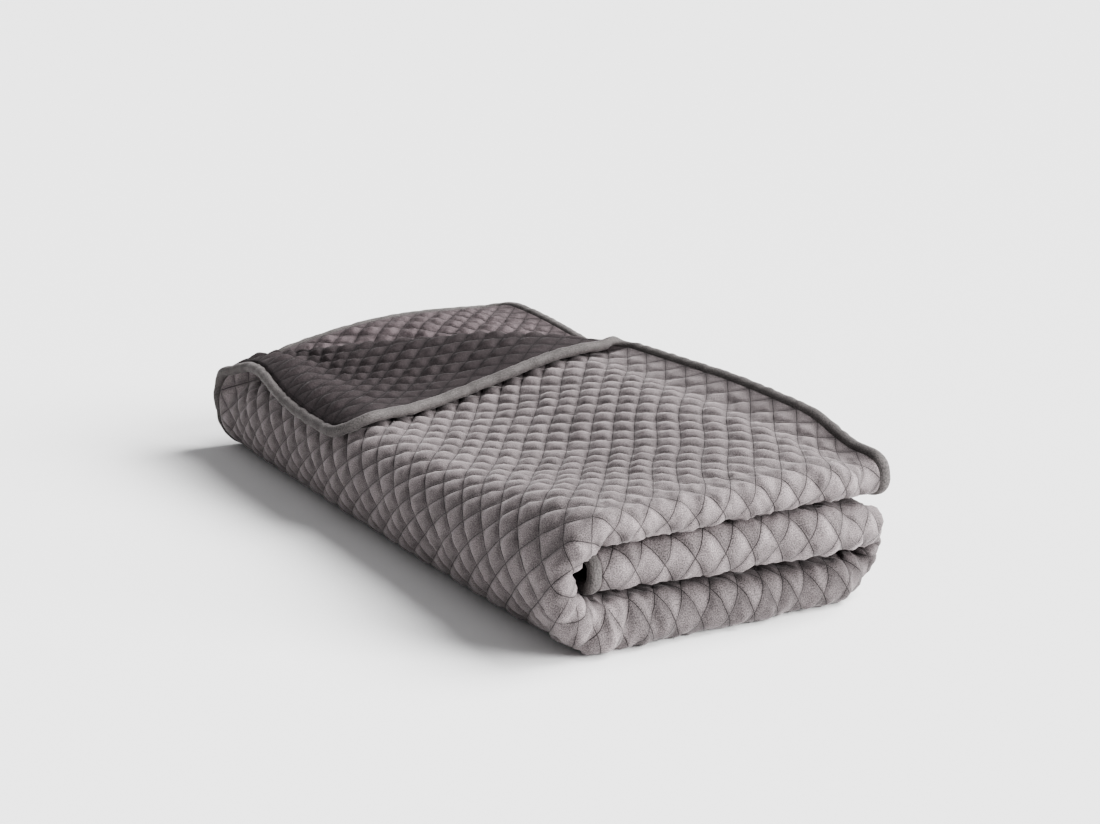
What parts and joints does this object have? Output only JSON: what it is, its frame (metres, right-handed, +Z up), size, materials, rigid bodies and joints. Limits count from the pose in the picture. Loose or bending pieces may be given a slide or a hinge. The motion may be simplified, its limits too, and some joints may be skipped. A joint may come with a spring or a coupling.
{
  "type": "folded quilted bedspread",
  "caption": "Padded velvet bedspread with diamond quilting and a bound edge, folded into a flat stack with one corner of the top layer turned over.",
  "frame": {"origin": "on the floor plane, under the middle of the folded stack's bounding box", "axes": "+X across the stack towards the free edge of the top layer, +Y along the stack from the front fold to the open back end, +Z up"},
  "size_m": [0.4744, 1.046, 0.1998],
  "materials": {
    "velvet": "warm grey short-pile velvet over soft wadding, stitched through in a diamond lattice",
    "binding": "plain warm grey velvet strip folded over the edge, with a narrow sewn seam"
  },
  "bodies": {
    "root": {"quilted_panel": "velvet", "edge_binding": "binding"}
  },
  "joints": []
}
